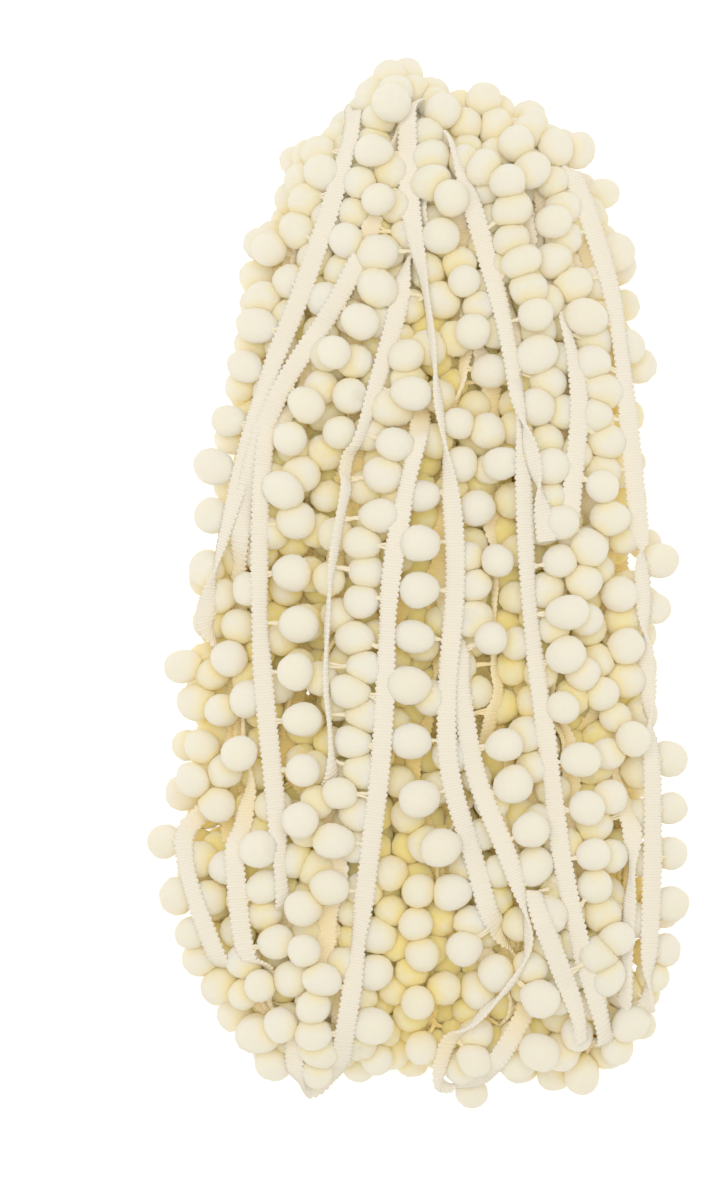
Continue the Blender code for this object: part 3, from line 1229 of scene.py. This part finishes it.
def nap_group() -> bpy.types.NodeTree:
    """The felt's nap: a soft mottle over short fine fibres.

    Returns:
        A group that gives a height between 0 and 1 and a mask of the mottle.
    """
    wiring, given, result = group(
        "nap",
        {"Size": "NodeSocketFloat"},
        {"Height": "NodeSocketFloat", "Mottle": "NodeSocketFloat"},
    )
    place = {0: wiring.add("ShaderNodeTexCoord").outputs["Object"], "Scale": given["Size"]}
    place = wiring.add("ShaderNodeVectorMath", place, operation="SCALE").outputs[0]
    mottle = wiring.noise(place, scale=0.55, detail=3.0, rough=0.6)
    tufts = wiring.noise(place, scale=1.6, detail=4.0, rough=0.75)
    wiring.tree.links.new(wiring.weighed(mottle, 0.45, tufts, 0.55), result["Height"])
    wiring.tree.links.new(mottle, result["Mottle"])
    return wiring.tree


def ribs_group() -> bpy.types.NodeTree:
    """The gimp's ribs: cords across the tape, each of yarn wound slantwise.

    Returns:
        A group that takes the rib's pitch, and gives a height and how far a place is in a furrow.
    """
    wiring, given, result = group(
        "ribs",
        {"Pitch": "NodeSocketFloat"},
        {"Height": "NodeSocketFloat", "Furrow": "NodeSocketFloat"},
    )
    uv = wiring.add("ShaderNodeUVMap", uv_map=TRIM_UV).outputs[0]
    parts = wiring.add("ShaderNodeSeparateXYZ", {0: uv}).outputs
    turns = wiring.math("DIVIDE", wiring.math("MULTIPLY", parts["Y"], 2.0), given["Pitch"])
    bar = wiring.math("ABSOLUTE", wiring.math("SINE", wiring.math("MULTIPLY", turns, math.pi)))
    bar = wiring.math("POWER", bar, 0.6)
    slant = wiring.math("ADD", parts["X"], wiring.math("MULTIPLY", parts["Y"], 0.6))
    yarn = wiring.math("SINE", wiring.math("MULTIPLY", slant, 2.0 * math.pi / YARN))
    yarn = wiring.math("ADD", wiring.math("MULTIPLY", yarn, 0.5), 0.5)
    wiring.tree.links.new(wiring.weighed(bar, 0.8, yarn, 0.2), result["Height"])
    wiring.tree.links.new(wiring.math("SUBTRACT", 1.0, bar), result["Furrow"])
    return wiring.tree


def cream_group() -> bpy.types.NodeTree:
    """The cream's colour, with painted shade: the trim's own colour outside, darker and warmer
    deeper in the hank, where shade and light bounced between the balls fall.

    The share of the painted shade is the piece's depth, with painted contact shade on the balls,
    plus its tone, plus the mask that is given: the nap's mottle on felt and thread, and painted
    shade in the rib furrows on the gimp.

    Returns:
        A group that takes both colours and that mask, and gives the colour.
    """
    wiring, given, result = group(
        "cream",
        {"Unshaded": "NodeSocketColor", "Painted_shade": "NodeSocketColor", "Mottle_and_furrow_shade": "NodeSocketFloat"},
        {"Color": "NodeSocketColor"},
    )
    # Painted shade: the depth attribute darkens and warms the colour deeper in the hank and where
    # balls touch.
    depth = wiring.add("ShaderNodeAttribute", attribute_name="depth").outputs["Fac"]
    tone = wiring.add("ShaderNodeAttribute", attribute_name="tone").outputs["Fac"]
    share = wiring.math("ADD", wiring.math("ADD", depth, given["Mottle_and_furrow_shade"]), tone)
    share = wiring.add("ShaderNodeClamp", {0: share}).outputs[0]
    wiring.tree.links.new(wiring.blend(share, given["Unshaded"], given["Painted_shade"]), result["Color"])
    return wiring.tree


@dataclass(frozen=True)
class Cream:
    """A finish of the cream trim.

    Attributes:
        name: The material's name.
        unshaded: The trim's own colour, where it lies open, linear.
        deep: Painted shade deep inside: darker and warmer, standing in for shade and light bounced
            between the balls, linear.
        roughness: Roughness.
        sheen: Weight of the soft sheen of fibre ends.
        glow: Weight of the light that passes a little way through.
        relief: Height of the surface's relief, in metres.
        mottle_and_furrow_shade: How far the pattern's mask moves the colour towards the deep one:
            the nap's
        mottle on felt and thread, and painted shade in the rib furrows on the gimp.
    """

    name: str
    unshaded: tuple[float, float, float, float]
    deep: tuple[float, float, float, float]
    roughness: float
    sheen: float
    glow: float
    relief: float
    mottle_and_furrow_shade: float

    def material(
        self, pattern: bpy.types.NodeTree, size: float, cream: bpy.types.NodeTree
    ) -> bpy.types.Material:
        """The finish as a material.

        Args:
            pattern: The group that gives the relief first and a mask second.
            size: What the pattern takes.
            cream: The group that gives the colour.

        Returns:
            The material.
        """
        made = bpy.data.materials.new(self.name)
        made.use_nodes = True
        wiring = Wiring(made.node_tree)
        shader = made.node_tree.nodes["Principled BSDF"]
        relief = wiring.add("ShaderNodeGroup", node_tree=pattern)
        relief.inputs[0].default_value = size
        # On the gimp the mask is its furrows, so this paints shade into the rib furrows; on felt and
        # thread it is the nap's own mottle.
        shade = wiring.math("MULTIPLY", relief.outputs[1], self.mottle_and_furrow_shade)
        color = wiring.add("ShaderNodeGroup", node_tree=cream)
        color.inputs["Unshaded"].default_value = self.unshaded
        color.inputs["Painted_shade"].default_value = self.deep
        made.node_tree.links.new(shade, color.inputs["Mottle_and_furrow_shade"])
        bump = wiring.add("ShaderNodeBump", {"Height": relief.outputs[0], "Distance": self.relief})
        made.node_tree.links.new(color.outputs[0], shader.inputs["Base Color"])
        made.node_tree.links.new(bump.outputs[0], shader.inputs["Normal"])
        finish = {
            "Roughness": self.roughness,
            "Diffuse Roughness": 1.0,
            "Specular IOR Level": 0.15,
            "Sheen Weight": self.sheen,
            "Sheen Roughness": 0.6,
            "Sheen Tint": (1.0, 0.88, 0.58, 1.0),
            "Subsurface Weight": self.glow,
            "Subsurface Radius": (0.0050, 0.0036, 0.0016),
            "Subsurface Scale": 1.0,
        }
        for socket, value in finish.items():
            shader.inputs[socket].default_value = value
        return made


# Each finish's deep colour is painted shade, with the warm cast of light bounced between the balls.
FELT = Cream(
    "felt", unshaded=(.945, .890, .765, 1.0), deep=(1.0, .750, .17, 1.0),
    roughness=0.95, sheen=0.25, glow=0.6, relief=0.00030, mottle_and_furrow_shade=0.05,
)
GIMP = Cream(
    "gimp", unshaded=(.935, .880, .755, 1.0), deep=(1.0, .740, .17, 1.0),
    roughness=0.80, sheen=0.04, glow=0.0, relief=0.00025, mottle_and_furrow_shade=0.12,
)
THREAD = Cream(
    "thread", unshaded=(.935, .865, .660, 1.0), deep=(1.0, .740, .17, 1.0),
    roughness=0.85, sheen=0.04, glow=0.0, relief=0.00010, mottle_and_furrow_shade=0.10,
)


@dataclass
class Trim:
    """The settled trim made solid: tape, balls and threads.

    Attributes:
        skein: The settled skein.
        room: The space that it fills.
        shade_from: Depth at which the painted shade, the deeper colour, starts.
        shade_over: Depth over which the painted shade grows full.
        painted_contact_shade: How much more painted shade a ball gets where it meets another.
        firmness: The least share of its radius that the tape presses a ball to.
        ball_reach: How far away another ball may press on one.
        tape_reach: How far away a point of tape may.
        own_points: Points to each side of a ball's own that don't press on it.
        facing: How squarely a point of tape faces a ball that it presses on, as a cosine.
        ground: The least height of a ball's surface.
        tones: Least and most of the tone that a ball has of its own.
        thread_tone: The threads' tone.
        edge: How far from the tape's middle the threads leave it, in widths.
        root: How far from a ball's middle they end, in radii.
        rise: Share of its slope that the way to a ball keeps where the tape shows.
        levelled: How far the tape is turned to level and leaned where it shows.
        easing: Passes that smooth where that starts and ends, and then the width itself.
        waver: Passes and size of the tape's short wavering, in radians.
        turning: Passes and size of its slow twist, in radians.
        full_lean: The lean of a run that twists in full.
        least_turning: The twist's least share.
        gimp: The tape's make.
        outer: The make of the balls that show.
        inner: The make of those inside.
        threads: The threads' make.
        widthways: The direction across the tape at each point of its line.
    """

    skein: Skein
    room: Room
    shade_from: float = 0.001
    shade_over: float = 0.013
    painted_contact_shade: float = 0.50
    firmness: float = 0.88
    ball_reach: float = 0.0125
    tape_reach: float = 0.0075
    own_points: int = 2
    facing: float = 0.6
    ground: float = 0.0002
    tones: tuple[float, float] = (-0.03, 0.05)
    thread_tone: float = 0.12
    edge: float = 0.42
    root: float = 0.85
    rise: float = 0.15
    levelled: float = 0.75
    easing: tuple[int, int] = (3, 5)
    waver: tuple[int, float] = (14, 0.8)
    turning: tuple[int, float] = (150, 3.0)
    full_lean: float = 25.0
    least_turning: float = 0.1
    gimp: Gimp = Gimp()
    outer: Ball = Ball()
    inner: Ball = Ball(steps=3)
    threads: DropThreads = DropThreads()
    widthways: np.ndarray = field(init=False)

    def __post_init__(self) -> None:
        """Finds which way the tape's width lies at each point of its line.

        The width points to the balls. Where the tape shows, it is turned down towards level, then
        leans by the run's own angle; everywhere it wavers a little.
        """
        skein = self.skein
        numbers = np.arange(len(skein.line))
        along = tangents(skein.line)
        reach = skein.balls - skein.line[skein.knots]
        reach = np.stack([np.interp(numbers, skein.knots, column) for column in reach.T], axis=1)
        pull = across(reach, along)
        level = unit(pull * np.array([1.0, 1.0, self.rise]))
        lean = np.radians(skein.lean)[:, None]
        level = across(level * np.cos(lean) - UP * np.sin(lean), along)
        share = smoothed(self.levelled * (skein.shown[:, None] > 0.5), self.easing[0])
        wide = smoothed(unit(pull * (1.0 - share) + level * share), self.easing[1])
        wide = across(wide, along)
        rng = np.random.default_rng(skein.seed + 1)
        waver, turning = (
            smoothed(rng.normal(size=(len(numbers), 1)), passes) * size
            for passes, size in (self.waver, self.turning)
        )
        waver += turning * np.clip(skein.lean[:, None] / self.full_lean, self.least_turning, 1.0)
        self.widthways = wide * np.cos(waver) + np.cross(along, wide) * np.sin(waver)

    def depth(self, points: np.ndarray) -> np.ndarray:
        """Share of the way from the hank's surface to deep inside, the mask of the painted shade.

        Args:
            points: Points, one a row.

        Returns:
            0 down to where the painted shade starts, 1 from where it is full.
        """
        deep = self.room.sample(points)[:, 0]
        return np.clip((deep - self.shade_from) / self.shade_over, 0.0, 1.0)

    def tape(self, start: int, stop: int, rings: int) -> Quads:
        """The tape between two points of its line.

        Args:
            start: The first point.
            stop: The point after the last.
            rings: Sections for each rib.

        Returns:
            Its surface.
        """
        skein = self.skein
        spacing = skein.pitch / skein.nodes_per_ball
        made = self.gimp.surface(
            skein.line[start:stop], self.widthways[start:stop], rings, start * spacing
        )
        # Painted shade: the tape is coloured darker and warmer the deeper it lies in the hank.
        made.values["depth"] = self.depth(made.points)
        made.values["tone"] = np.zeros(len(made.points))
        return made

    def pompoms(self, chosen: np.ndarray, make: Ball) -> Quads:
        """Balls pressed flat where they meet each other, the tape or the ground.

        Args:
            chosen: Which balls.
            make: Their make.

        Returns:
            One surface.
        """
        skein = self.skein
        numbers = np.flatnonzero(chosen)
        centres, radii = skein.balls[numbers], skein.radius[numbers]
        pull = unit(skein.line[skein.knots[numbers]] - centres)
        points, faces = make.shaped(centres, radii, pull, skein.seed + len(numbers))
        a, b = close_pairs(centres, skein.balls, self.ball_reach)
        other = numbers[a] != b
        a, b = a[other], b[other]
        gap = skein.balls[b] - centres[a]
        share = radii[a] / (radii[a] + skein.radius[b])
        near = np.zeros(points.shape[:2])
        pressed(points, near, a, centres[a] + gap * share[:, None], unit(gap))
        a, b = close_pairs(centres, skein.line, self.tape_reach)
        other = np.abs(skein.knots[numbers[a]] - b) > self.own_points
        a, b = a[other], b[other]
        face = np.cross(self.widthways[b], tangents(skein.line)[b])
        gap = skein.line[b] - centres[a]
        face *= np.sign(np.sum(gap * face, axis=1, keepdims=True))
        flat = np.sum(unit(gap) * face, axis=1) > self.facing
        a, b, face = a[flat], b[flat], face[flat]
        away = np.sum((skein.line[b] - centres[a]) * face, axis=1) - self.gimp.thickness / 2.0
        away = np.maximum(away, self.firmness * radii[a])
        pressed(points, np.zeros_like(near), a, centres[a] + face * away[:, None], face)
        points[..., 2] = np.maximum(points[..., 2], self.ground)
        rng = np.random.default_rng(skein.seed + 2)
        tone = rng.uniform(*self.tones, len(numbers))
        # Painted shade: darker and warmer deeper in the hank, and more where a ball touches another.
        values = {
            "depth": self.depth(points.reshape(-1, 3)) + self.painted_contact_shade * near.ravel(),
            "tone": np.repeat(tone, points.shape[1]),
        }
        every = repeated(faces, len(numbers), points.shape[1])
        return Quads(points.reshape(-1, 3), every, None, values)

    def drops(self, chosen: np.ndarray) -> Quads:
        """The threads of some balls.

        Args:
            chosen: Which balls.

        Returns:
            One surface.
        """
        skein = self.skein
        knots = skein.knots[chosen]
        edge = skein.line[knots] + self.widthways[knots] * (self.gimp.width * self.edge)
        centres = skein.balls[chosen]
        ends = centres + unit(edge - centres) * (skein.radius[chosen] * self.root)[:, None]
        made = self.threads.surface(edge, ends, tangents(skein.line)[knots], skein.seed + 3)
        # Painted shade: the threads are coloured darker and warmer the deeper they lie in the hank.
        made.values["depth"] = self.depth(made.points)
        made.values["tone"] = np.full(len(made.points), self.thread_tone)
        return made


@dataclass(frozen=True)
class Studio:
    """The floor, the light and the camera.

    Attributes:
        middle: The point that the camera looks straight down on.
        height: The camera's height over the floor.
        lens: Its focal length in millimetres.
        sensor: The longer side of its sensor in millimetres.
        lamp_place: Where the soft lamp hangs.
        lamp_size: The length of its side.
        lamp_power: Its power.
        sky: Strength of the light from all round.
        sky_color: Its colour, warmer than the lamp's.
        softness: How far the shades are lifted, for a bright and airy look.
        floor_half: Half the floor's side.
        floor_glow: Strength of the light that the floor gives off.
    """

    middle: tuple[float, float] = (-0.0168, -0.0051)
    height: float = 0.785
    lens: float = 85.0
    sensor: float = 36.0
    lamp_place: tuple[float, float, float] = (-0.06, 0.10, 0.90)
    lamp_size: float = 0.6
    lamp_power: float = 3.9
    sky: float = 0.44
    sky_color: tuple[float, float, float] = (1.0, 0.88, 0.60)
    softness: float = 1.8
    floor_half: float = 3.0
    floor_glow: float = 0.60

    def build(self) -> None:
        """Places them in the scene."""
        scene = bpy.context.scene
        scene.view_settings.view_transform = "Standard"
        scene.view_settings.gamma = self.softness
        self.floor()
        world = bpy.data.worlds.new("studio")
        world.use_nodes = True
        wiring = Wiring(world.node_tree)
        lighting = world.node_tree.nodes["Background"]
        lighting.inputs["Color"].default_value = (*self.sky_color, 1.0)
        lighting.inputs["Strength"].default_value = self.sky
        seen = wiring.add("ShaderNodeBackground", {"Color": (1.0, 1.0, 1.0, 1.0)})
        rays = wiring.add("ShaderNodeLightPath").outputs["Is Camera Ray"]
        shared = {0: rays, 1: lighting.outputs[0], 2: seen.outputs[0]}
        shared = wiring.add("ShaderNodeMixShader", shared).outputs[0]
        world.node_tree.links.new(shared, world.node_tree.nodes["World Output"].inputs["Surface"])
        scene.world = world
        lamp = bpy.data.lights.new("soft_lamp", "AREA")
        lamp.energy, lamp.size = self.lamp_power, self.lamp_size
        lamp_object = bpy.data.objects.new("soft_lamp", lamp)
        lamp_object.location = self.lamp_place
        lamp_object.rotation_euler = Vector(self.lamp_place).to_track_quat("Z", "Y").to_euler()
        scene.collection.objects.link(lamp_object)
        camera = bpy.data.cameras.new("camera")
        camera.lens, camera.sensor_fit, camera.sensor_height = self.lens, "VERTICAL", self.sensor
        camera_object = bpy.data.objects.new("camera", camera)
        camera_object.location = (*self.middle, self.height)
        scene.collection.objects.link(camera_object)
        scene.camera = camera_object

    def floor(self) -> None:
        """Lays the pale floor just under the hank."""
        mesh = bpy.data.meshes.new("floor")
        turns = (-1, -1), (1, -1), (1, 1), (-1, 1)
        corners = [(x * self.floor_half, y * self.floor_half, 0.0) for x, y in turns]
        mesh.from_pydata(corners, [], [(0, 1, 2, 3)])
        pale = bpy.data.materials.new("floor")
        pale.use_nodes = True
        shader = pale.node_tree.nodes["Principled BSDF"]
        shader.inputs["Base Color"].default_value = (0.95, 0.95, 0.95, 1.0)
        shader.inputs["Roughness"].default_value = 0.9
        shader.inputs["Emission Color"].default_value = (1.0, 1.0, 1.0, 1.0)
        shader.inputs["Emission Strength"].default_value = self.floor_glow
        mesh.materials.append(pale)
        made = bpy.data.objects.new("floor", mesh)
        bpy.context.collection.objects.link(made)


def cut_ends(trim: Trim, material: bpy.types.Material) -> None:
    """Makes the two free ends of the tape, and hides the imported strips that stood for them.

    Args:
        trim: The trim.
        material: The tape's finish.
    """
    skein = trim.skein
    for end in (OUTER_END, INNER_END):
        places = np.flatnonzero(skein.shell == end.mark)
        made = trim.tape(places[0], places[-1] + 1, rings=3)
        piece = made.piece(f"{end.node}_tape", material, Slot.TAPE)
        path = skein.line[places]
        if end is INNER_END:
            path = path[::-1]
        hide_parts(end.node)


def main() -> None:
    """Winds, settles and meshes the trim, then sets the studio up."""
    logging.basicConfig(level=logging.INFO, format="%(message)s")
    room = Room()
    skein = Skein()
    skein.wind(room)
    Settling().run(skein, room)
    trim = Trim(skein, room)
    nap, ribs, cream = nap_group(), ribs_group(), cream_group()
    felt = FELT.material(nap, FELT_NAP, cream)
    gimp = GIMP.material(ribs, trim.gimp.rib, cream)
    thread = THREAD.material(nap, THREAD_NAP, cream)
    shell = skein.shell[skein.knots]
    left = skein.balls[:, 0] < 0.0
    made = [
        trim.pompoms((shell <= 0) & left, trim.outer).piece("pompoms_left", felt, Slot.POMPOMS),
        trim.pompoms((shell <= 0) & ~left, trim.outer).piece("pompoms_right", felt, Slot.POMPOMS),
        trim.pompoms(shell > 0, trim.inner).piece("pompoms_inside", felt, Slot.POMPOMS),
        trim.drops(shell <= 0).piece("threads_outside", thread, Slot.TAPE),
        trim.drops(shell > 0).piece("threads_inside", thread, Slot.TAPE),
    ]
    outer, inside, core = (np.flatnonzero(skein.shell == number) for number in range(3))
    half = int(outer[len(outer) // 2])
    made += [
        trim.tape(core[0], inside[0] + 1, rings=1).piece("tape_core", gimp, Slot.TAPE),
        trim.tape(inside[0], inside[-1] + 2, rings=2).piece("tape_inside", gimp, Slot.TAPE),
        trim.tape(outer[0], half + 1, rings=3).piece("tape_outside_first", gimp, Slot.TAPE),
        trim.tape(half, outer[-1] + 2, rings=3).piece("tape_outside_last", gimp, Slot.TAPE),
    ]
    for piece in made:
        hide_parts(HANK_NODE)
    cut_ends(trim, gimp)
    Studio().build()


if __name__ == "__main__":
    main()
